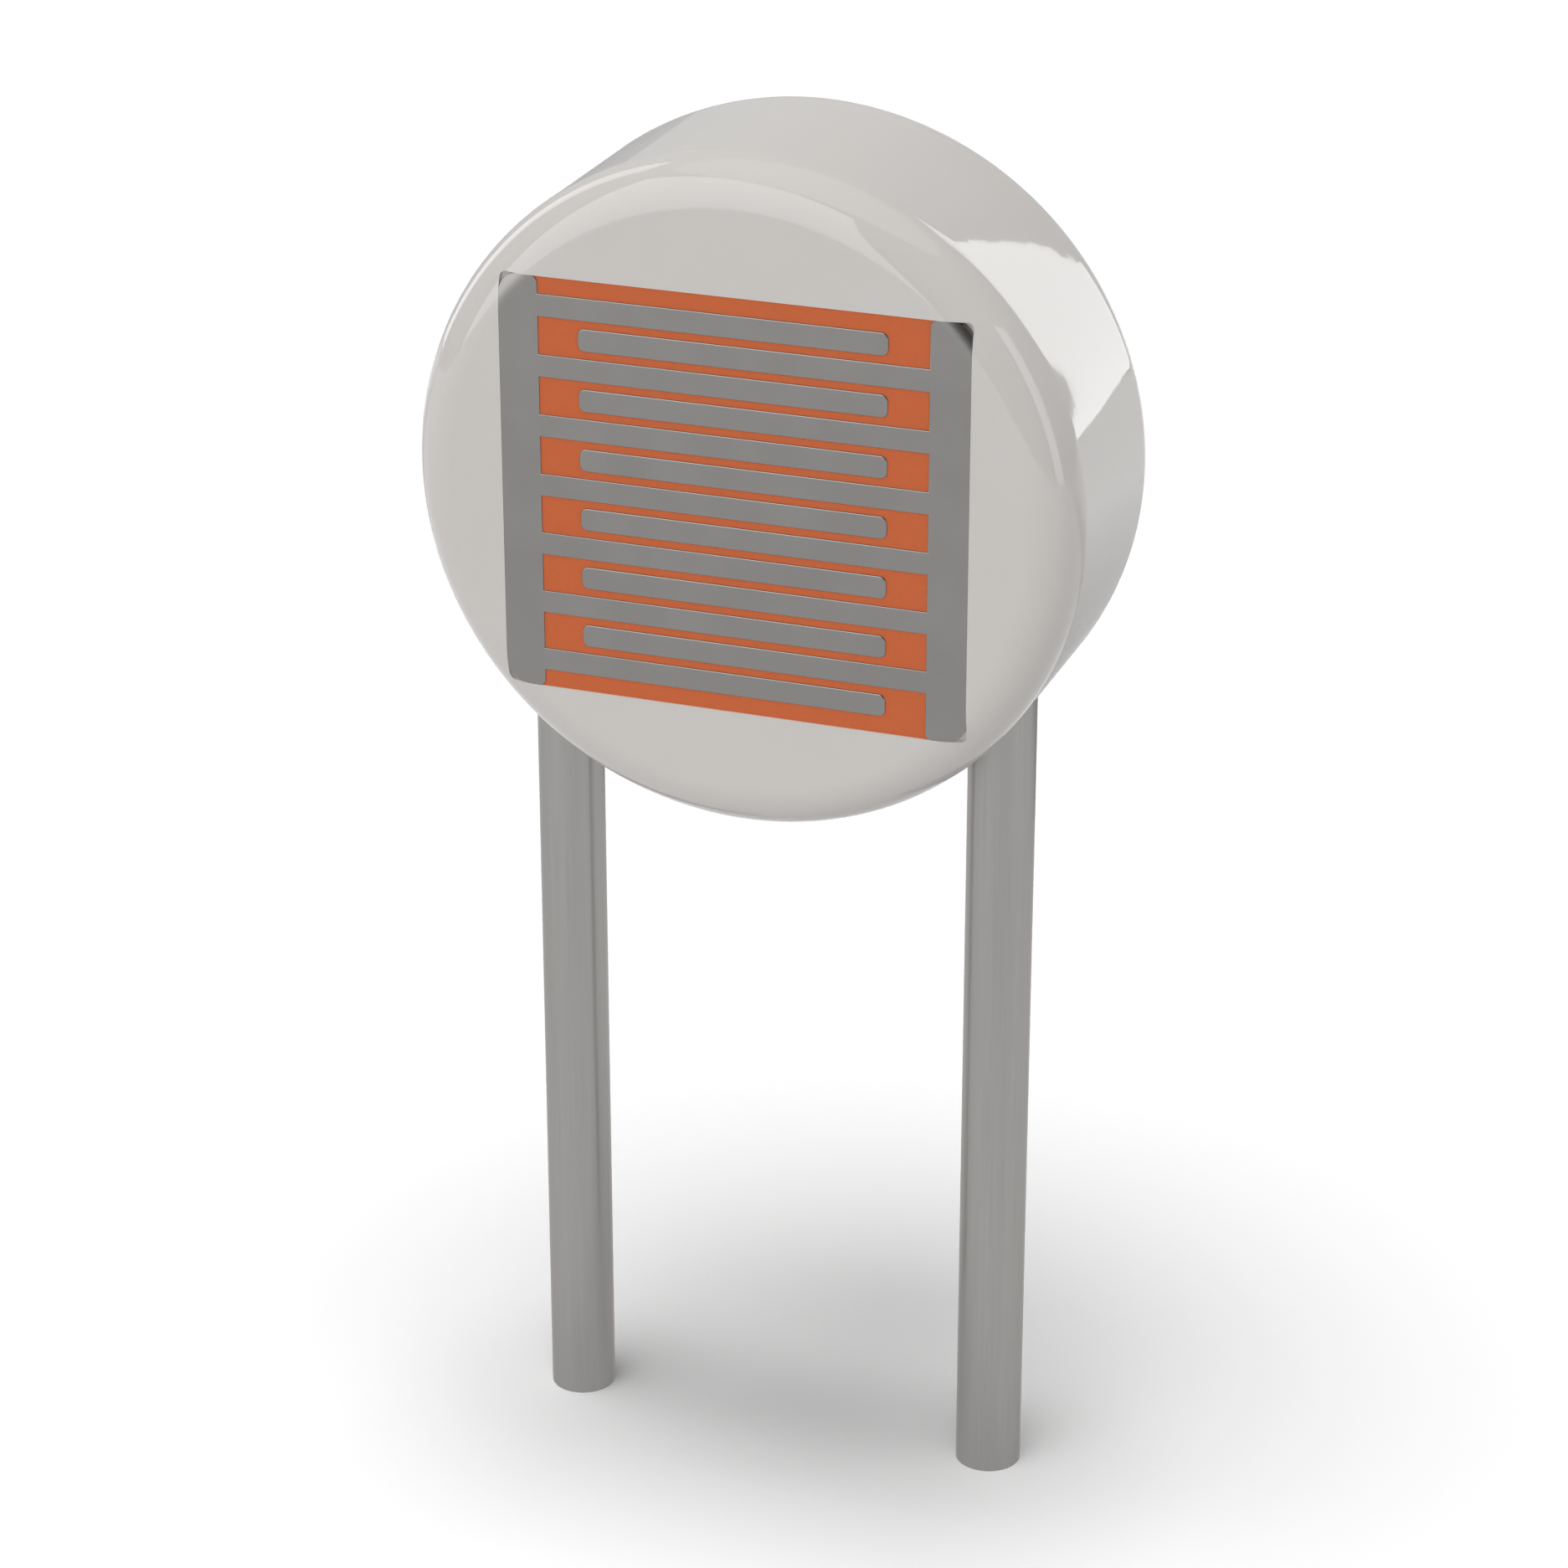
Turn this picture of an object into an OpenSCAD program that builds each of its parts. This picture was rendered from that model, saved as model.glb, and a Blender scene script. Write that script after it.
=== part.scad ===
// Photoresistor: a round ceramic body with a light-sensitive face and two wire leads.
// The face looks along -Y, the leads point down and their tips lie on z = 0.

/* [Body] */
// Diameter of the round body
body_d = 5; // [4.8:0.1:6]
// Thickness of the body from its face to its back
body_t = 2.1; // [1.8:0.1:3]
// Radius of the body's front and rear edges
edge_r = 0.35; // [0.1:0.05:0.45]

/* [Sensitive face] */
// Width across both bus bars
face_w = 3.5; // [3.2:0.05:3.7]
// Height of the film and of the bus bars
face_h = 3.1; // [2.8:0.05:3.3]
// Depth of the recess that holds the film and the bus bars
recess_depth = 0.08; // [0.07:0.01:0.4]
// Corner radius of the recess
recess_corner_r = 0.05; // [0.02:0.01:0.1]
// Width of film that lies under the inner edge of each bus bar
film_lap = 0.08; // [0.06:0.01:0.12]

/* [Electrodes] */
// Width of each bus bar
bar_w = 0.3; // [0.26:0.02:0.4]
// Radius of each bus bar's outer corners
bar_outer_r = 0.15; // [0.05:0.01:0.18]
// Radius of each bus bar's inner corners and of the fingers' end corners
inner_r = 0.05; // [0.02:0.01:0.06]
// Fingers on the left electrode, one more than on the right one
left_fingers = 7; // [3:1:9]
// Clear gap between neighbouring fingers
finger_gap = 0.056; // [0.03:0.002:0.08]
// Clear gap between a finger's end and the opposite bus bar
finger_end_gap = 0.3; // [0.1:0.05:0.8]
// Bare film above the first finger and below the last one
film_margin = 0.1285; // [0.06:0.0005:0.2]
// Thickness of the electrodes where they lie on the film
print_t = 0.01; // [0.005:0.005:0.03]

/* [Leads] */
// Diameter of each lead
lead_d = 0.5; // [0.4:0.05:0.6]
// Distance between the two leads' centres
lead_pitch = 3.4; // [3:0.1:3.6]
// Distance of the leads' tips below the body's centre
lead_drop = 8; // [4:0.5:35]
// Distance of the leads' buried ends below the body's centre
lead_end_drop = 0.6; // [0.4:0.1:0.9]
// Gap all round each lead in its hole
lead_clearance = 0.02; // [0.01:0.01:0.05]

/* [Bonds] */
// Diameter of the passage from each lead's hole to its bus bar, which the bond fills
passage_d = 0.18; // [0.1:0.02:0.2]
// Distance of each passage below the buried end of its lead
passage_drop = 0.25; // [0.15:0.05:0.5]

/* [Hidden] */
$fn = 96;

left = -1;
right = 1;

body_r = body_d / 2;
front_y = -body_t / 2;
centre_z = lead_drop;

// How far cuts reach past the surfaces that they open
cut_over = 0.2;

// The film runs from under one bus bar to under the other
bar_inner_x = face_w / 2 - bar_w;
film_half_w = bar_inner_x + film_lap;

// The fingers share the height that the margins and gaps leave
finger_count = 2 * left_fingers - 1;
finger_space = face_h - 2 * film_margin - (finger_count - 1) * finger_gap;
finger_w = finger_space / finger_count;
finger_pitch = finger_w + finger_gap;
finger_len = 2 * bar_inner_x - finger_end_gap;

lead_r = lead_d / 2;
hole_r = lead_r + lead_clearance;
lead_end_z = centre_z - lead_end_drop;

// Each passage opens in the middle of the part of its bus bar that stands in the recess
passage_x = (film_half_w + face_w / 2) / 2;
passage_z = lead_end_z - passage_drop;
passage_len = -front_y - recess_depth;

// Extrudes an outline drawn on the face, from reach in front of it to depth behind it
module from_face(depth, reach = 0) {
    translate([0, front_y + depth, centre_z])
        rotate([90, 0, 0])
            linear_extrude(depth + reach)
                children();
}

// Rectangle from x0 to x1, centred on y = 0, whose corners at x0 and at x1 have their own radii
module rounded_strip(x0, x1, h, r0, r1) {
    translate([x0 + r0, -h / 2])
        square([x1 - x0 - r0 - r1, h]);
    translate([x0, r0 - h / 2])
        square([r0, h - 2 * r0]);
    translate([x1 - r1, r1 - h / 2])
        square([r1, h - 2 * r1]);
    for (side = [-1, 1]) {
        translate([x0 + r0, side * (h / 2 - r0)])
            circle(r0);
        translate([x1 - r1, side * (h / 2 - r1)])
            circle(r1);
    }
}

// Body before the recess and the holes are cut
module body_blank() {
    translate([0, front_y, centre_z])
        rotate([-90, 0, 0])
            rotate_extrude() {
                square([body_r - edge_r, body_t]);
                translate([0, edge_r])
                    square([body_r, body_t - 2 * edge_r]);
                for (edge_y = [edge_r, body_t - edge_r])
                    translate([body_r - edge_r, edge_y])
                        circle(edge_r);
            }
}

// Film, or with a tail the room that it takes out of the bus bars; its front stays below the body's
module film_block(tail = 0) {
    intersection() {
        translate([-film_half_w, front_y, centre_z - face_h / 2])
            cube([2 * film_half_w, recess_depth + tail, face_h]);
        translate([0, print_t, 0])
            body_blank();
    }
}

// Outline of one electrode with its bus bar on the right; its fingers start under the bar's lap
module comb_outline(rows) {
    rounded_strip(bar_inner_x, face_w / 2, face_h, inner_r, bar_outer_r);
    for (row = rows)
        translate([0, (row - (finger_count - 1) / 2) * finger_pitch])
            rounded_strip(bar_inner_x - finger_len, film_half_w, finger_w, inner_r, inner_r);
}

// Electrode: its front follows the body's front, and its bus bar reaches the floor of the recess
module electrode(side, rows) {
    difference() {
        intersection() {
            body_blank();
            from_face(recess_depth, cut_over)
                rotate(side == right ? 0 : 180)
                    comb_outline(rows);
        }
        film_block(cut_over);
    }
}

// Round hole for a lead, or the lead itself, from z0 up to z1
module lead_rod(side, r, z0, z1) {
    translate([side * lead_pitch / 2, 0, z0])
        cylinder(r = r, h = z1 - z0);
}

// Passage from the middle of the lead's hole to the floor of the recess, or past it by reach
module passage(side, reach = 0) {
    translate([side * passage_x, 0, passage_z])
        rotate([90, 0, 0])
            cylinder(d = passage_d, h = passage_len + reach);
}

// Conductive cement in a passage, from the side of the lead to the back of the bus bar
module bond(side) {
    difference() {
        passage(side);
        lead_rod(side, lead_r, 0, lead_end_z);
    }
}

module ceramic_body() {
    color("#c7c3bf")
        difference() {
            body_blank();
            from_face(recess_depth, cut_over)
                rounded_strip(-face_w / 2, face_w / 2, face_h, recess_corner_r, recess_corner_r);
            for (side = [left, right]) {
                lead_rod(side, hole_r, centre_z - body_r - cut_over, lead_end_z);
                passage(side, cut_over);
            }
        }
}

module photo_film() {
    color("#c3673f")
        film_block();
}

module left_electrode() {
    color("#8a8886")
        electrode(left, [0:2:finger_count - 1]);
}

module right_electrode() {
    color("#868483")
        electrode(right, [1:2:finger_count - 2]);
}

module left_lead() {
    color("#999795")
        lead_rod(left, lead_r, 0, lead_end_z);
}

module right_lead() {
    color("#989694")
        lead_rod(right, lead_r, 0, lead_end_z);
}

module left_bond() {
    color("#6f6d6b")
        bond(left);
}

module right_bond() {
    color("#6f6d6b")
        bond(right);
}

ceramic_body();
photo_film();
left_electrode();
right_electrode();
left_lead();
right_lead();
left_bond();
right_bond();
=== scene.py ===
import math

import bmesh
import bpy
from mathutils import Matrix, Quaternion, Vector
from mathutils.geometry import delaunay_2d_cdt


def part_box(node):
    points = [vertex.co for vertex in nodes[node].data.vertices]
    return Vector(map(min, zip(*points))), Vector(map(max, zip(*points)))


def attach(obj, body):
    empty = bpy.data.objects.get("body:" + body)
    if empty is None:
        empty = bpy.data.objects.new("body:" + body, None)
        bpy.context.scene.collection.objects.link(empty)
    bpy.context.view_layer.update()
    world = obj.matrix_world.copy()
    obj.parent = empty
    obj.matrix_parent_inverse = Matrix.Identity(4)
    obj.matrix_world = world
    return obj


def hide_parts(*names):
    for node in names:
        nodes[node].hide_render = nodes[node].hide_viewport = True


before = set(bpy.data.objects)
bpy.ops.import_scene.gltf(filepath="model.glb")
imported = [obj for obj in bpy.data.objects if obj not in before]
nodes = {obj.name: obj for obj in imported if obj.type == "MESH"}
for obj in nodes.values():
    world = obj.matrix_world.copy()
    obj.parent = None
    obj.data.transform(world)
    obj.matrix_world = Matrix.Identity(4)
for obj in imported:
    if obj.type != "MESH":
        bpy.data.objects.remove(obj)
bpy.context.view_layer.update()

MM = 0.001
LEFT, RIGHT = -1, 1

# Sizes of the part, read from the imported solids
body_low, body_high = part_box("ceramic_body")
film_low, film_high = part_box("photo_film")
right_comb_low, right_comb_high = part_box("right_electrode")

body_r = (body_high.x - body_low.x) / 2
front_y = body_low.y
back_y = body_high.y
disc_z = (film_low.z + film_high.z) / 2
recess_floor_y = film_high.y
face_half_w = right_comb_high.x
face_half_h = (film_high.z - film_low.z) / 2
finger_tip_x = right_comb_low.x

# Sizes that the boxes can't give
edge_r = 0.35 * MM
recess_corner_r = 0.05 * MM
lead_clearance = 0.02 * MM
bar_w = 0.3 * MM
bar_outer_r = 0.15 * MM
finger_corner_r = 0.05 * MM
left_fingers = 7
finger_gap = 0.056 * MM
film_margin = 0.1285 * MM

# The deposited metal ends in a soft edge
metal_edge_r = 0.0065 * MM

finger_count = 2 * left_fingers - 1
finger_w = (2 * (face_half_h - film_margin) - (finger_count - 1) * finger_gap) / finger_count
finger_pitch = finger_w + finger_gap

# How far cutting shapes reach past the surfaces that they open
cut_over = 0.2 * MM

# Fineness of the round surfaces
turn_steps = 384
edge_steps = 32
hole_steps = 64
corner_steps = 12
metal_edge_steps = 4
metal_grid = 0.015 * MM
crease_angle = math.radians(30)

# Narrow strips beside the rounded edges keep the rim between them straight in reflections
rim_hold = 0.02 * MM

# A face whose normal lies this much along Y is on a flat front or back
flat_share = 0.99999

# A comb's front is filled with triangles inside its outline only, and points this near, in mm, count as one
keep_inside = 1
same_point = 1e-6


def linear(hex_colour):
    """Linear colour with alpha 1 from an sRGB hex value such as c7c3c0."""
    channels = [int(hex_colour[i:i + 2], 16) / 255 for i in (0, 2, 4)]
    curve = [c / 12.92 if c <= 0.04045 else ((c + 0.055) / 1.055) ** 2.4 for c in channels]
    return (*curve, 1.0)


def per_metre(size_mm):
    """Texture scale at which a pattern's features are about size_mm across."""
    return 1 / (size_mm * MM)


def add(tree, kind, inputs=None, **settings):
    """Adds a node with its settings. An input that is a socket is linked, and any other is set."""
    made = tree.nodes.new(kind)
    for name, value in settings.items():
        setattr(made, name, value)
    for name, value in (inputs or {}).items():
        if isinstance(value, bpy.types.NodeSocket):
            tree.links.new(value, made.inputs[name])
        else:
            made.inputs[name].default_value = value
    return made


def new_material(name):
    """Empty node material."""
    material = bpy.data.materials.new(name)
    material.use_nodes = True
    material.node_tree.nodes.clear()
    return material, material.node_tree


def glazed_ceramic():
    """Off-white ceramic under a fired clear glaze: a milky body colour with a mirror-like skin.

    The glaze flows as it melts, so its skin is a little wavy and the edges of reflections wander."""
    material, tree = new_material("glazed_ceramic")
    place = add(tree, "ShaderNodeTexCoord").outputs["Object"]
    cloud = add(tree, "ShaderNodeTexNoise", {"Vector": place, "Scale": per_metre(1.6), "Detail": 2.0})
    colour = add(tree, "ShaderNodeMixRGB", {
        "Fac": cloud.outputs["Fac"], "Color1": linear("c4c0bc"), "Color2": linear("c8c5c2")})
    haze = add(tree, "ShaderNodeMapRange", {
        "Value": cloud.outputs["Fac"], "To Min": 0.015, "To Max": 0.035})
    wave = add(tree, "ShaderNodeTexNoise", {"Vector": place, "Scale": per_metre(0.2), "Detail": 3.0})
    skin = add(tree, "ShaderNodeBump", {
        "Height": wave.outputs["Fac"], "Strength": 1.0, "Distance": 0.0002 * MM})
    shader = add(tree, "ShaderNodeBsdfPrincipled", {
        "Base Color": colour.outputs["Color"], "Roughness": haze.outputs["Result"], "IOR": 1.5,
        "Normal": skin.outputs["Normal"]})
    add(tree, "ShaderNodeOutputMaterial", {"Surface": shader.outputs["BSDF"]})
    return material


def fired_film():
    """Cadmium sulphide film, printed and fired: a dense orange powder layer with a dull, grainy skin.

    The real grains are about 0.01 mm, so they are drawn coarser to show."""
    material, tree = new_material("fired_cadmium_sulphide")
    place = add(tree, "ShaderNodeTexCoord").outputs["Object"]
    grain = add(tree, "ShaderNodeTexNoise", {"Vector": place, "Scale": per_metre(0.03), "Detail": 3.0})
    cloud = add(tree, "ShaderNodeTexNoise", {"Vector": place, "Scale": per_metre(0.7), "Detail": 1.0})
    speckle = add(tree, "ShaderNodeMixRGB", {
        "Fac": grain.outputs["Fac"], "Color1": linear("bd5f38"), "Color2": linear("c96941")})
    colour = add(tree, "ShaderNodeMixRGB", {
        "Fac": cloud.outputs["Fac"], "Color1": speckle.outputs["Color"], "Color2": linear("c3643c")})
    skin = add(tree, "ShaderNodeBump", {
        "Height": grain.outputs["Fac"], "Strength": 0.5, "Distance": 0.002 * MM})
    shader = add(tree, "ShaderNodeBsdfPrincipled", {
        "Base Color": colour.outputs["Color"], "Roughness": 0.8, "IOR": 1.5,
        "Specular IOR Level": 0.12, "Normal": skin.outputs["Normal"]})
    add(tree, "ShaderNodeOutputMaterial", {"Surface": shader.outputs["BSDF"]})
    return material


def deposited_metal():
    """Tin alloy deposited through a mask: a smooth grey metal with a satin sheen and faint clouding."""
    material, tree = new_material("deposited_tin_alloy")
    place = add(tree, "ShaderNodeTexCoord").outputs["Object"]
    cloud = add(tree, "ShaderNodeTexNoise", {"Vector": place, "Scale": per_metre(0.4), "Detail": 4.0})
    colour = add(tree, "ShaderNodeMixRGB", {
        "Fac": cloud.outputs["Fac"], "Color1": linear("807e7c"), "Color2": linear("8a8886")})
    sheen = add(tree, "ShaderNodeMapRange", {"Value": cloud.outputs["Fac"], "To Min": 0.22, "To Max": 0.26})
    shader = add(tree, "ShaderNodeBsdfPrincipled", {
        "Base Color": colour.outputs["Color"], "Metallic": 1.0, "Roughness": sheen.outputs["Result"]})
    add(tree, "ShaderNodeOutputMaterial", {"Surface": shader.outputs["BSDF"]})
    return material


def tinned_wire():
    """Copper wire, drawn and then hot tinned: a soft grey shine with faint die lines along its length.

    Die lines are a few thousandths of a millimetre wide, so they are drawn coarser to show."""
    material, tree = new_material("drawn_tinned_copper")
    place = add(tree, "ShaderNodeTexCoord").outputs["Object"]
    along = add(tree, "ShaderNodeMapping", {"Vector": place, "Scale": (1.0, 1.0, 0.02)})
    lines = add(tree, "ShaderNodeTexNoise", {
        "Vector": along.outputs["Vector"], "Scale": per_metre(0.025), "Detail": 2.0})
    cloud = add(tree, "ShaderNodeTexNoise", {"Vector": place, "Scale": per_metre(0.5), "Detail": 3.0})
    tone = add(tree, "ShaderNodeMixRGB", {
        "Fac": lines.outputs["Fac"], "Color1": linear("8e8c8a"), "Color2": linear("a3a19f")})
    colour = add(tree, "ShaderNodeMixRGB", {
        "Fac": cloud.outputs["Fac"], "Color1": tone.outputs["Color"], "Color2": linear("9a9896")})
    sheen = add(tree, "ShaderNodeMapRange", {"Value": lines.outputs["Fac"], "To Min": 0.26, "To Max": 0.34})
    skin = add(tree, "ShaderNodeBump", {
        "Height": lines.outputs["Fac"], "Strength": 0.6, "Distance": 0.001 * MM})
    shader = add(tree, "ShaderNodeBsdfPrincipled", {
        "Base Color": colour.outputs["Color"], "Metallic": 1.0, "Roughness": sheen.outputs["Result"],
        "Specular Tint": linear("e4e2e0"), "Normal": skin.outputs["Normal"]})
    add(tree, "ShaderNodeOutputMaterial", {"Surface": shader.outputs["BSDF"]})
    return material


def conductive_cement():
    """Silver-filled cement, cured in place: a dull dark grey paste with fine metal grains."""
    material, tree = new_material("cured_silver_cement")
    place = add(tree, "ShaderNodeTexCoord").outputs["Object"]
    grain = add(tree, "ShaderNodeTexNoise", {"Vector": place, "Scale": per_metre(0.03), "Detail": 4.0})
    colour = add(tree, "ShaderNodeMixRGB", {
        "Fac": grain.outputs["Fac"], "Color1": linear("646260"), "Color2": linear("7a7876")})
    shader = add(tree, "ShaderNodeBsdfPrincipled", {
        "Base Color": colour.outputs["Color"], "Metallic": 0.3, "Roughness": 0.7})
    add(tree, "ShaderNodeOutputMaterial", {"Surface": shader.outputs["BSDF"]})
    return material


def new_piece(name, shape):
    """Object made from a bmesh, which is freed."""
    bmesh.ops.recalc_face_normals(shape, faces=shape.faces)
    mesh = bpy.data.meshes.new(name)
    shape.to_mesh(mesh)
    shape.free()
    piece = bpy.data.objects.new(name, mesh)
    bpy.context.scene.collection.objects.link(piece)
    return piece


def turned_disc():
    """Disc with rounded edges, turned from its half section about the body's axis."""
    section = []
    for edge_y, start in ((front_y + edge_r, -math.pi / 2), (back_y - edge_r, 0)):
        for i in range(edge_steps + 1):
            angle = start + i / edge_steps * math.pi / 2
            section.append((body_r - edge_r + edge_r * math.cos(angle), edge_y + edge_r * math.sin(angle)))
    middle = edge_steps + 1
    section[middle:middle] = [(body_r, front_y + edge_r + rim_hold), (body_r, back_y - edge_r - rim_hold)]
    shape = bmesh.new()
    points = [shape.verts.new((r, y, disc_z)) for r, y in section]
    profile = [shape.edges.new(pair) for pair in zip(points, points[1:])]
    bmesh.ops.spin(shape, geom=points + profile, cent=(0, 0, disc_z), axis=(0, 1, 0),
                   angle=2 * math.pi, steps=turn_steps)
    bmesh.ops.remove_doubles(shape, verts=shape.verts, dist=edge_r / 1000)
    rims = [e for e in shape.edges if e.is_boundary]
    bmesh.ops.edgeloop_fill(shape, edges=rims)
    return new_piece("glazed_body", shape)


def upright_slab(x0, x1, z0, z1, y0, y1, r):
    """Slab between y0 and y1 whose outline, seen along Y, is a rectangle with round corners."""
    shape = bmesh.new()
    outline = []
    corners = ((x1 - r, z1 - r), (x0 + r, z1 - r), (x0 + r, z0 + r), (x1 - r, z0 + r))
    for quarter, (x, z) in enumerate(corners):
        for i in range(corner_steps + 1):
            angle = (quarter + i / corner_steps) * math.pi / 2
            outline.append(shape.verts.new((x + r * math.cos(angle), y0, z + r * math.sin(angle))))
    face = shape.faces.new(outline)
    grown = bmesh.ops.extrude_face_region(shape, geom=[face])
    moved = [v for v in grown["geom"] if isinstance(v, bmesh.types.BMVert)]
    bmesh.ops.translate(shape, verts=moved, vec=(0, y1 - y0, 0))
    return new_piece("cutter", shape)


def rod(start, end, r):
    """Round rod between two points."""
    axis = end - start
    turn = axis.to_track_quat("Z", "Y").to_matrix().to_4x4()
    shape = bmesh.new()
    bmesh.ops.create_cone(shape, cap_ends=True, segments=hole_steps, radius1=r, radius2=r,
                          depth=axis.length, matrix=Matrix.Translation((start + end) / 2) @ turn)
    return new_piece("cutter", shape)


def cut_away(piece, cutters):
    """Takes the cutters out of the piece for good and deletes them."""
    for cutter in cutters:
        cut = piece.modifiers.new("cut", "BOOLEAN")
        cut.operation = "DIFFERENCE"
        cut.solver = "EXACT"
        cut.object = cutter
    seen = piece.evaluated_get(bpy.context.evaluated_depsgraph_get())
    whole = bpy.data.meshes.new_from_object(seen)
    piece.modifiers.clear()
    piece.data = whole
    for cutter in cutters:
        bpy.data.objects.remove(cutter)


def stand_for(piece, node, material):
    """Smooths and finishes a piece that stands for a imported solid."""
    piece.data.shade_smooth()
    piece.data.set_sharp_from_angle(angle=crease_angle)
    for face in piece.data.polygons:
        face.use_smooth = abs(face.normal.y) < flat_share
    even = piece.modifiers.new("even_normals", "WEIGHTED_NORMAL")
    even.keep_sharp = True
    piece.data.materials.clear()
    piece.data.materials.append(material)
    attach(piece, "root")
    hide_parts(node)
    part.objects.link(piece)


def glazed_body():
    """Ceramic body with the recess for the film and bars, the lead holes and the bonds' passages."""
    piece = turned_disc()
    cutters = [upright_slab(-face_half_w, face_half_w, film_low.z, film_high.z,
                            front_y - cut_over, recess_floor_y, recess_corner_r)]
    for hand in ("left", "right"):
        lead_low, lead_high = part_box(hand + "_lead")
        lead_x = (lead_low.x + lead_high.x) / 2
        hole_r = (lead_high.x - lead_low.x) / 2 + lead_clearance
        hole_mouth = Vector((lead_x, 0, body_low.z - cut_over))
        hole_end = Vector((lead_x, 0, lead_high.z))
        cutters.append(rod(hole_mouth, hole_end, hole_r))
        bond_low, bond_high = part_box(hand + "_bond")
        bond = (bond_low + bond_high) / 2
        bond_r = (bond_high.x - bond_low.x) / 2
        passage_start = Vector((bond.x, 0, bond.z))
        passage_end = Vector((bond.x, front_y - cut_over, bond.z))
        cutters.append(rod(passage_start, passage_end, bond_r))
    cut_away(piece, cutters)
    stand_for(piece, "ceramic_body", ceramic)


def face_drop(x, z):
    """How far the body's rounded edge lies behind its flat front, at a place from the disc's axis."""
    past = math.hypot(x, z) - (body_r - edge_r)
    if past <= 0:
        return 0.0
    return edge_r - math.sqrt(edge_r ** 2 - past ** 2)


def comb_outline(rows, inset):
    """Points round one electrode from the disc's axis, with its bar on the right.

    The edges that lie on the film are moved in by inset, and those in the recess's walls stay."""
    inner, tip = face_half_w - bar_w + inset, finger_tip_x + inset
    half_w = finger_w / 2 - inset
    soft_r = finger_corner_r - inset
    corners = [(face_half_w, -face_half_h, bar_outer_r), (face_half_w, face_half_h, bar_outer_r),
               (inner, face_half_h, soft_r)]
    for row in reversed(rows):
        z = (row - (finger_count - 1) / 2) * finger_pitch
        corners += [(inner, z + half_w, 0), (tip, z + half_w, soft_r),
                    (tip, z - half_w, soft_r), (inner, z - half_w, 0)]
    corners.append((inner, -face_half_h, soft_r))
    points = []
    for i, (x, z, r) in enumerate(corners):
        here = Vector((x, z))
        if r == 0:
            points.append(here)
            continue
        before = (Vector(corners[i - 1][:2]) - here).normalized()
        after = (Vector(corners[(i + 1) % len(corners)][:2]) - here).normalized()
        for k in range(corner_steps + 1):
            angle = k / corner_steps * math.pi / 2
            points.append(here + r * (before * (1 - math.sin(angle)) + after * (1 - math.cos(angle))))
    return closer_where_rolled(points)


def closer_where_rolled(points):
    """The same outline with more points on the straight stretches that follow the body's rounded edge."""
    closer = []
    for start, end in zip(points, points[1:] + points[:1]):
        closer.append(start)
        if face_drop(*start) or face_drop(*end):
            count = round((end - start).length / metal_grid)
            closer += [start.lerp(end, i / count) for i in range(1, count)]
    return closer


def rolled_off_points():
    """Grid of points on a bar's two outer ends, where its front follows the body's rounded edge."""
    points = []
    reach = bar_outer_r - metal_grid / 2
    centre_x, centre_z = face_half_w - bar_outer_r, face_half_h - bar_outer_r
    columns = int((bar_w - bar_outer_r) / metal_grid)
    for i in range(-columns, int(reach / metal_grid) + 1):
        for k in range(-columns, int(reach / metal_grid) + 1):
            across, up = i * metal_grid, k * metal_grid
            on_bar = math.hypot(max(across, 0), max(up, 0)) < reach
            rolled = math.hypot(centre_x + across, centre_z + up) > body_r - edge_r - metal_grid
            if on_bar and rolled:
                points += [Vector((centre_x + across, side * (centre_z + up))) for side in (-1, 1)]
    return points


def metal_comb(node, side, rows):
    """Deposited electrode: a bar with fingers, softly rounded where it ends on the film."""
    shape = bmesh.new()

    def point(place, depth):
        y = front_y + face_drop(*place) + depth
        return shape.verts.new((side * place.x, y, disc_z + place.y))

    rings = []
    for step in range(metal_edge_steps + 1):
        angle = step / metal_edge_steps * math.pi / 2
        outline = comb_outline(rows, metal_edge_r * (1 - math.sin(angle)))
        rings.append([point(place, metal_edge_r * (1 - math.cos(angle))) for place in outline])
    foot = [shape.verts.new((v.co.x, recess_floor_y, v.co.z)) for v in rings[-1]]
    rings.append(foot)
    for upper, lower in zip(rings, rings[1:]):
        for i in range(len(upper)):
            shape.faces.new((upper[i - 1], upper[i], lower[i], lower[i - 1]))
    shape.faces.new(foot)

    front = comb_outline(rows, metal_edge_r)
    inside = rolled_off_points()
    flat = [place / MM for place in front + inside]
    rim = list(range(len(front)))
    made = delaunay_2d_cdt(flat, [], [rim], keep_inside, same_point)
    triangles, sources = made[2], made[3]
    corners = []
    for source in sources:
        past_rim = source[0] - len(front)
        corners.append(rings[0][source[0]] if past_rim < 0 else point(inside[past_rim], 0))
    for triangle in triangles:
        shape.faces.new([corners[i] for i in triangle])

    piece = new_piece(node + "_metal", shape)
    cut_away(piece, [upright_slab(film_low.x, film_high.x, film_low.z - cut_over, film_high.z + cut_over,
                                  film_low.y, recess_floor_y + cut_over, cut_over / 2)])
    stand_for(piece, node, bar_metal)


def dress(node, material):
    """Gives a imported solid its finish."""
    slots = nodes[node].data.materials
    slots.clear()
    slots.append(material)
    part.objects.link(nodes[node])


# Groups that a lamp can be kept to
part = bpy.data.collections.new("part")
stage = bpy.data.collections.new("stage")

ceramic = glazed_ceramic()
film = fired_film()
bar_metal = deposited_metal()
wire = tinned_wire()
cement = conductive_cement()

dress("ceramic_body", ceramic)
dress("photo_film", film)
for hand in ("left", "right"):
    dress(hand + "_electrode", bar_metal)
    dress(hand + "_lead", wire)
    dress(hand + "_bond", cement)
glazed_body()
metal_comb("left_electrode", LEFT, range(0, finger_count, 2))
metal_comb("right_electrode", RIGHT, range(1, finger_count, 2))

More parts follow.
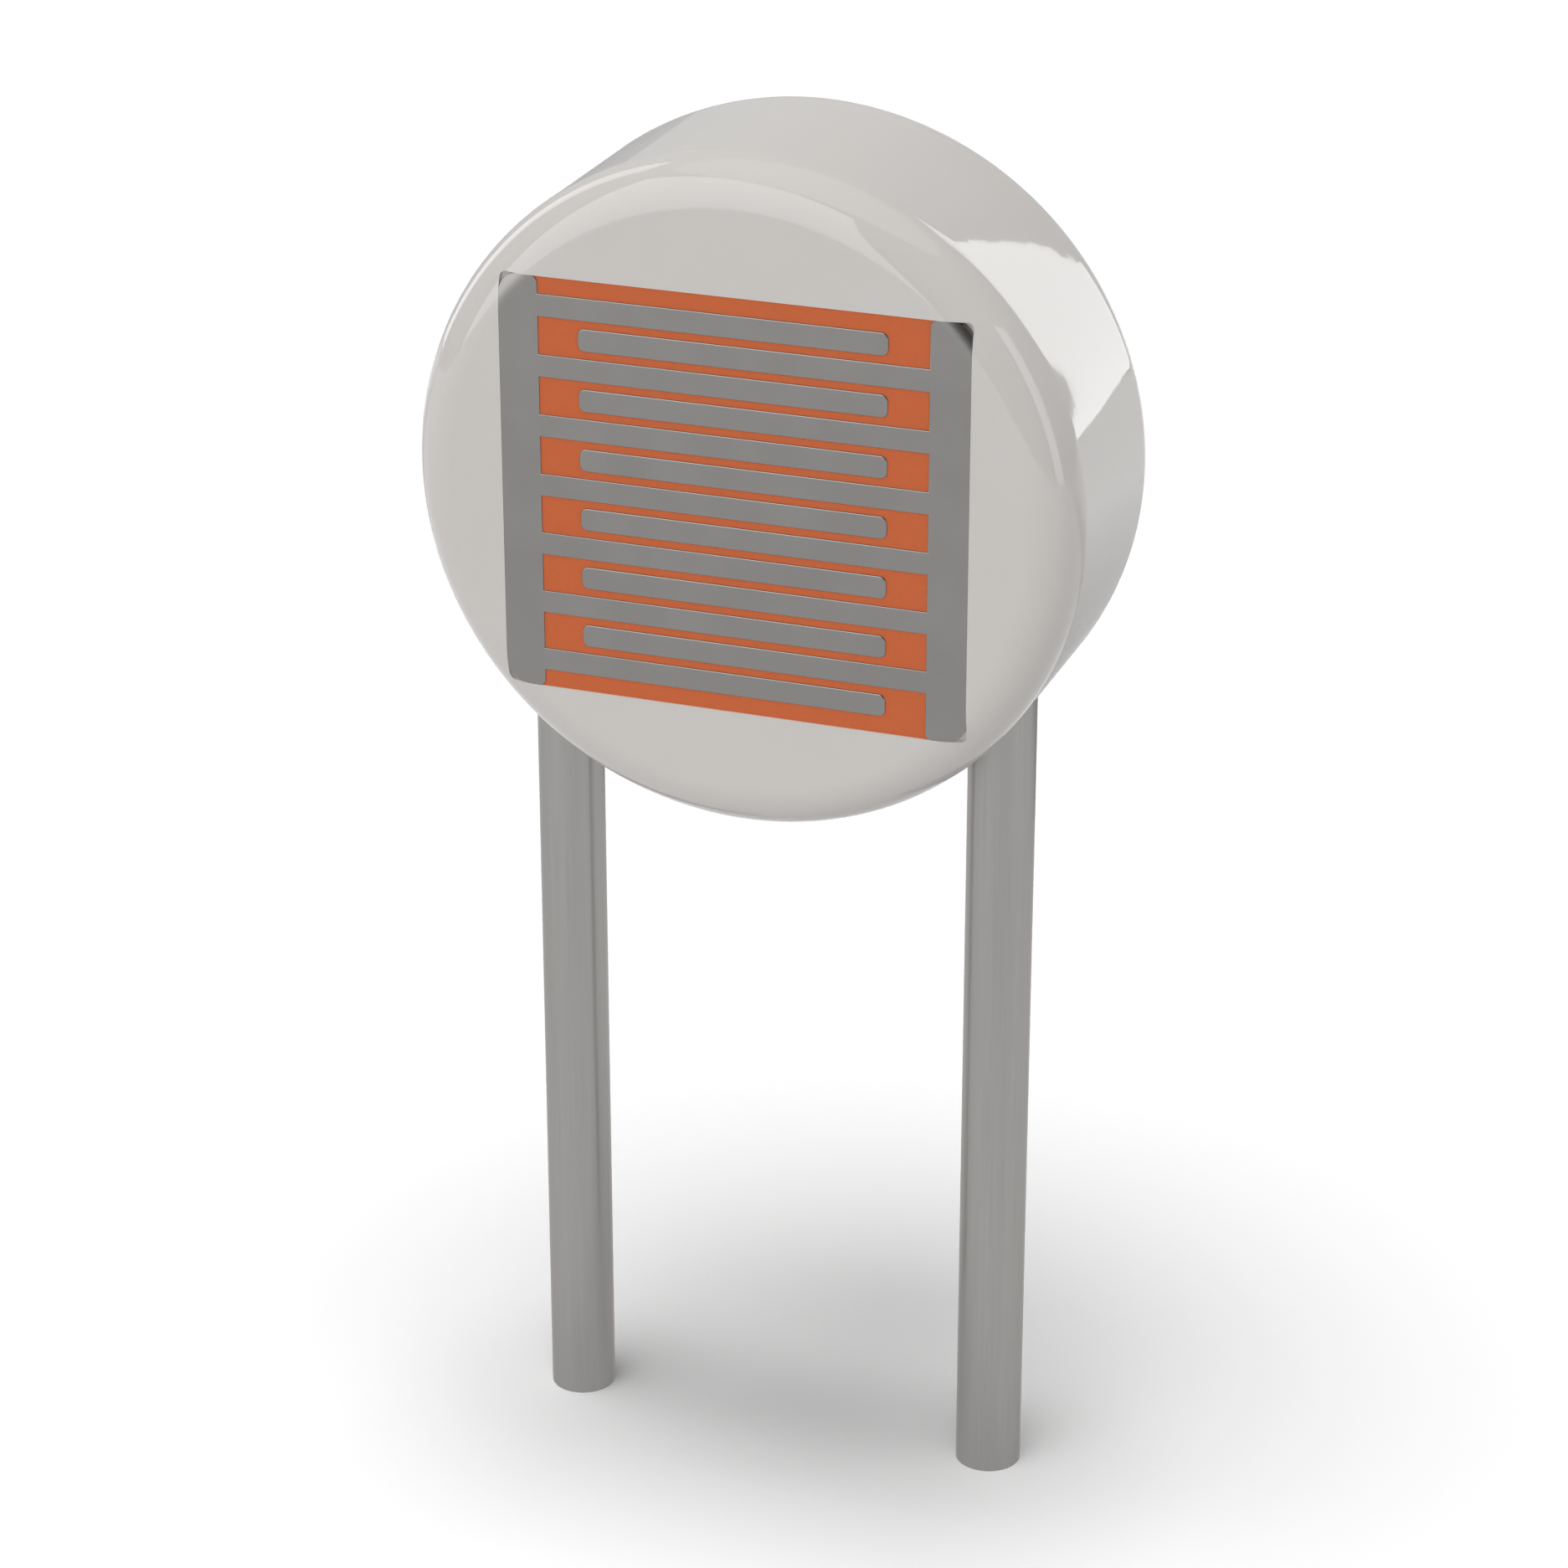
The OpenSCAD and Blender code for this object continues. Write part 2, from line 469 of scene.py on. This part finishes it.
# Stage: a white floor and a white room, with a screen, a card and boards that only reflections show
floor_half = 400 * MM
screen_r = 75 * MM
screen_h = 120 * MM
screen_steps = 96
screen_front_level = 0.05
screen_back_level = 0.6
card_half_w = 80 * MM
card_lift = 0.05 * MM

# Outlines of the boards behind the part, in mm on the board. The bent edges of the bright one give the
# rim's highlight its form, and the grey one darkens the rim where it turns away on the left
bright_outline = ((0.8, 9.1), (1.2, 7.3), (2.9, 4.3), (2.35, 3.0), (2.05, 2.0), (1.7, 0.5), (1.6, -0.3),
                  (2.1, -1.0), (3.0, -3.4), (3.8, -5.6), (2.2, -5.9), (2.0, -6.6), (1.6, -7.1),
                  (1.2, -5.3), (0.8, -3.6), (0.6, -2.6), (-1.5, -0.1), (-2.0, 1.5), (-1.7, 5.4),
                  (-2.2, 8.2))
grey_outline = ((-20, -3.5), (20, -3.5), (20, 5), (-20, 5))

# Boards and lamps are placed round the middle of the face. Azimuth is 0 in front of the face and 90 on the
# right, and elevation is above the floor
face_centre = Vector((0, front_y, disc_z))
lamp_distance = 55 * MM


def towards(azimuth, elevation):
    """Unit vector from the face towards a lamp or board."""
    a, e = math.radians(azimuth), math.radians(elevation)
    return Vector((math.sin(a) * math.cos(e), -math.cos(a) * math.cos(e), math.sin(e)))


def facing(azimuth, elevation, roll=0):
    """Turn of a lamp or board in that direction whose front looks at the face."""
    turn = towards(azimuth, elevation).to_track_quat("Z", "Y") @ Quaternion((0, 0, 1), math.radians(roll))
    return turn.to_euler()


def seen_directly(tree):
    """1 for camera, glossy and transmission rays, and 0 for the rest."""
    path = add(tree, "ShaderNodeLightPath")
    mirror = add(tree, "ShaderNodeMath", {
        0: path.outputs["Is Camera Ray"], 1: path.outputs["Is Glossy Ray"]}, operation="MAXIMUM")
    seen = add(tree, "ShaderNodeMath", {
        0: mirror.outputs["Value"], 1: path.outputs["Is Transmission Ray"]}, operation="MAXIMUM")
    return seen.outputs["Value"]


def floor():
    """White studio floor, which lights the part less than it shows, so that the underside stays darker.

    Reflections show its shadow at half strength."""
    shape = bmesh.new()
    bmesh.ops.create_grid(shape, x_segments=1, y_segments=1, size=floor_half)
    piece = new_piece("floor", shape)
    material, tree = new_material("white_floor")
    white = add(tree, "ShaderNodeMixRGB", {
        "Fac": seen_directly(tree), "Color1": linear("c6c6c6"), "Color2": linear("fcfcfc")})
    matt = add(tree, "ShaderNodeBsdfDiffuse", {"Color": white.outputs["Color"]})
    glow = add(tree, "ShaderNodeEmission", {"Color": linear("ffffff"), "Strength": 1.0})
    mirrored = add(tree, "ShaderNodeLightPath").outputs["Is Glossy Ray"]
    half = add(tree, "ShaderNodeMath", {0: mirrored, 1: 0.5}, operation="MULTIPLY")
    both = add(tree, "ShaderNodeMixShader", {
        "Fac": half.outputs["Value"], 1: matt.outputs["BSDF"], 2: glow.outputs["Emission"]})
    add(tree, "ShaderNodeOutputMaterial", {"Surface": both.outputs["Shader"]})
    piece.data.materials.append(material)
    stage.objects.link(piece)


def show_in_reflections(name, shape, near_y, near_level, far_y, far_level):
    """Stage piece that only reflections show. Its glow runs from one level in front to another behind."""
    piece = new_piece(name, shape)
    material, tree = new_material(name + "_glow")
    place = add(tree, "ShaderNodeTexCoord").outputs["Object"]
    depth = add(tree, "ShaderNodeSeparateXYZ", {"Vector": place}).outputs["Y"]
    level = add(tree, "ShaderNodeMapRange", {
        "Value": depth, "From Min": near_y, "From Max": far_y, "To Min": near_level, "To Max": far_level})
    glow = add(tree, "ShaderNodeEmission", {"Strength": level.outputs["Result"]})
    add(tree, "ShaderNodeOutputMaterial", {"Surface": glow.outputs["Emission"]})
    piece.data.materials.append(material)
    piece.visible_camera = False
    piece.visible_diffuse = False
    piece.visible_transmission = False
    piece.visible_shadow = False


def screen():
    """Round screen, dark in front, so that shiny edges fade, and pale behind."""
    shape = bmesh.new()
    bmesh.ops.create_cone(shape, cap_ends=False, segments=screen_steps, radius1=screen_r, radius2=screen_r,
                          depth=screen_h, matrix=Matrix.Translation((0, 0, screen_h / 2)))
    show_in_reflections("screen", shape, -screen_r, screen_front_level, screen_r, screen_back_level)


def floor_card(near_y, near_level, far_y, far_level):
    """Card on the floor, which keeps the rim from fading into the white floor where it turns away."""
    shape = bmesh.new()
    corners = ((-card_half_w, near_y), (card_half_w, near_y), (card_half_w, far_y), (-card_half_w, far_y))
    shape.faces.new([shape.verts.new((x, y, card_lift)) for x, y in corners])
    show_in_reflections("floor_card", shape, near_y, near_level, far_y, far_level)


def board(name, outline, azimuth, elevation, roll, distance, level):
    """Board that looks at the face and glows evenly."""
    place = Matrix.LocRotScale(face_centre + distance * towards(azimuth, elevation),
                               facing(azimuth, elevation, roll), None)
    shape = bmesh.new()
    shape.faces.new([shape.verts.new(place @ Vector((across * MM, up * MM, 0))) for across, up in outline])
    show_in_reflections(name, shape, front_y, level, back_y, level)


def room():
    """White room where it is seen, which lights nothing."""
    world = bpy.data.worlds.new("room")
    bpy.context.scene.world = world
    world.use_nodes = True
    tree = world.node_tree
    tree.nodes.clear()
    light = add(tree, "ShaderNodeBackground", {"Color": linear("ffffff"), "Strength": seen_directly(tree)})
    add(tree, "ShaderNodeOutputWorld", {"Surface": light.outputs["Background"]})


def new_lamp(name, kind, azimuth, elevation):
    """Lamp that shines at the face from the given direction."""
    lamp = bpy.data.lights.new(name, kind)
    holder = bpy.data.objects.new(name, lamp)
    bpy.context.scene.collection.objects.link(holder)
    holder.rotation_euler = facing(azimuth, elevation)
    return lamp, holder


def soft_sun(name, azimuth, elevation, spread, level, lit):
    """Soft light on one group, in no reflection. At level 1, white that faces it renders as white.

    A sun on the stage casts shadows, and one on the part casts none, so that the part is lit evenly."""
    lamp, holder = new_lamp(name, "SUN", azimuth, elevation)
    lamp.energy = level * math.pi
    lamp.angle = math.radians(spread)
    lamp.use_shadow = lit is stage
    holder.visible_glossy = False
    holder.light_linking.receiver_collection = lit


def panel(name, azimuth, elevation, wide, high, radiance):
    """Flat softbox that shows only as a reflection, wide and high in degrees as seen from the face."""
    lamp, holder = new_lamp(name, "AREA", azimuth, elevation)
    lamp.shape = "RECTANGLE"
    lamp.size = 2 * lamp_distance * math.tan(math.radians(wide / 2))
    lamp.size_y = 2 * lamp_distance * math.tan(math.radians(high / 2))
    lamp.energy = radiance * math.pi * lamp.size * lamp.size_y
    holder.location = face_centre + lamp_distance * towards(azimuth, elevation)
    holder.visible_camera = False
    holder.visible_diffuse = False


def camera():
    """Camera at the photograph's viewpoint, looking down on the face from the right."""
    eye = Vector((10.830, -29.667, 19.362)) * MM
    yaw = math.radians(20.0406)
    pitch = math.radians(-23.7666)
    holder = bpy.data.objects.new("camera", bpy.data.cameras.new("camera"))
    bpy.context.scene.collection.objects.link(holder)
    holder.location = eye
    holder.rotation_euler = (math.pi / 2 + pitch, 0, yaw)
    holder.data.sensor_width = 36
    holder.data.lens = 106.47
    holder.data.clip_start = 1 * MM
    holder.data.clip_end = 1000 * MM
    bpy.context.scene.camera = holder


floor()
screen()
room()
floor_card(near_y=12 * MM, near_level=0.4, far_y=22 * MM, far_level=1.0)
board("bright_board", bright_outline, azimuth=149.8, elevation=16, roll=-13.6, distance=18 * MM,
      level=2.9)
board("grey_board", grey_outline, azimuth=-154, elevation=-6, roll=0, distance=40 * MM, level=0.42)
soft_sun("floor_light", azimuth=-16, elevation=80, spread=40, level=0.88, lit=stage)
soft_sun("floor_back_light", azimuth=180, elevation=85, spread=15, level=0.17, lit=stage)
soft_sun("overhead", azimuth=0, elevation=90, spread=150, level=0.95, lit=part)
soft_sun("front_fill", azimuth=-30, elevation=15, spread=30, level=0.35, lit=part)
soft_sun("right_fill", azimuth=75, elevation=12, spread=40, level=0.11, lit=part)
soft_sun("back_fill", azimuth=200, elevation=10, spread=30, level=0.3, lit=part)
panel("front_left_softbox", azimuth=-31, elevation=25, wide=58, high=62, radiance=2.3)
panel("left_strip", azimuth=-115, elevation=22, wide=15, high=54, radiance=1.9)
panel("right_strip", azimuth=77, elevation=14, wide=18, high=40, radiance=2.0)
camera()

bpy.context.scene.view_settings.view_transform = "Standard"
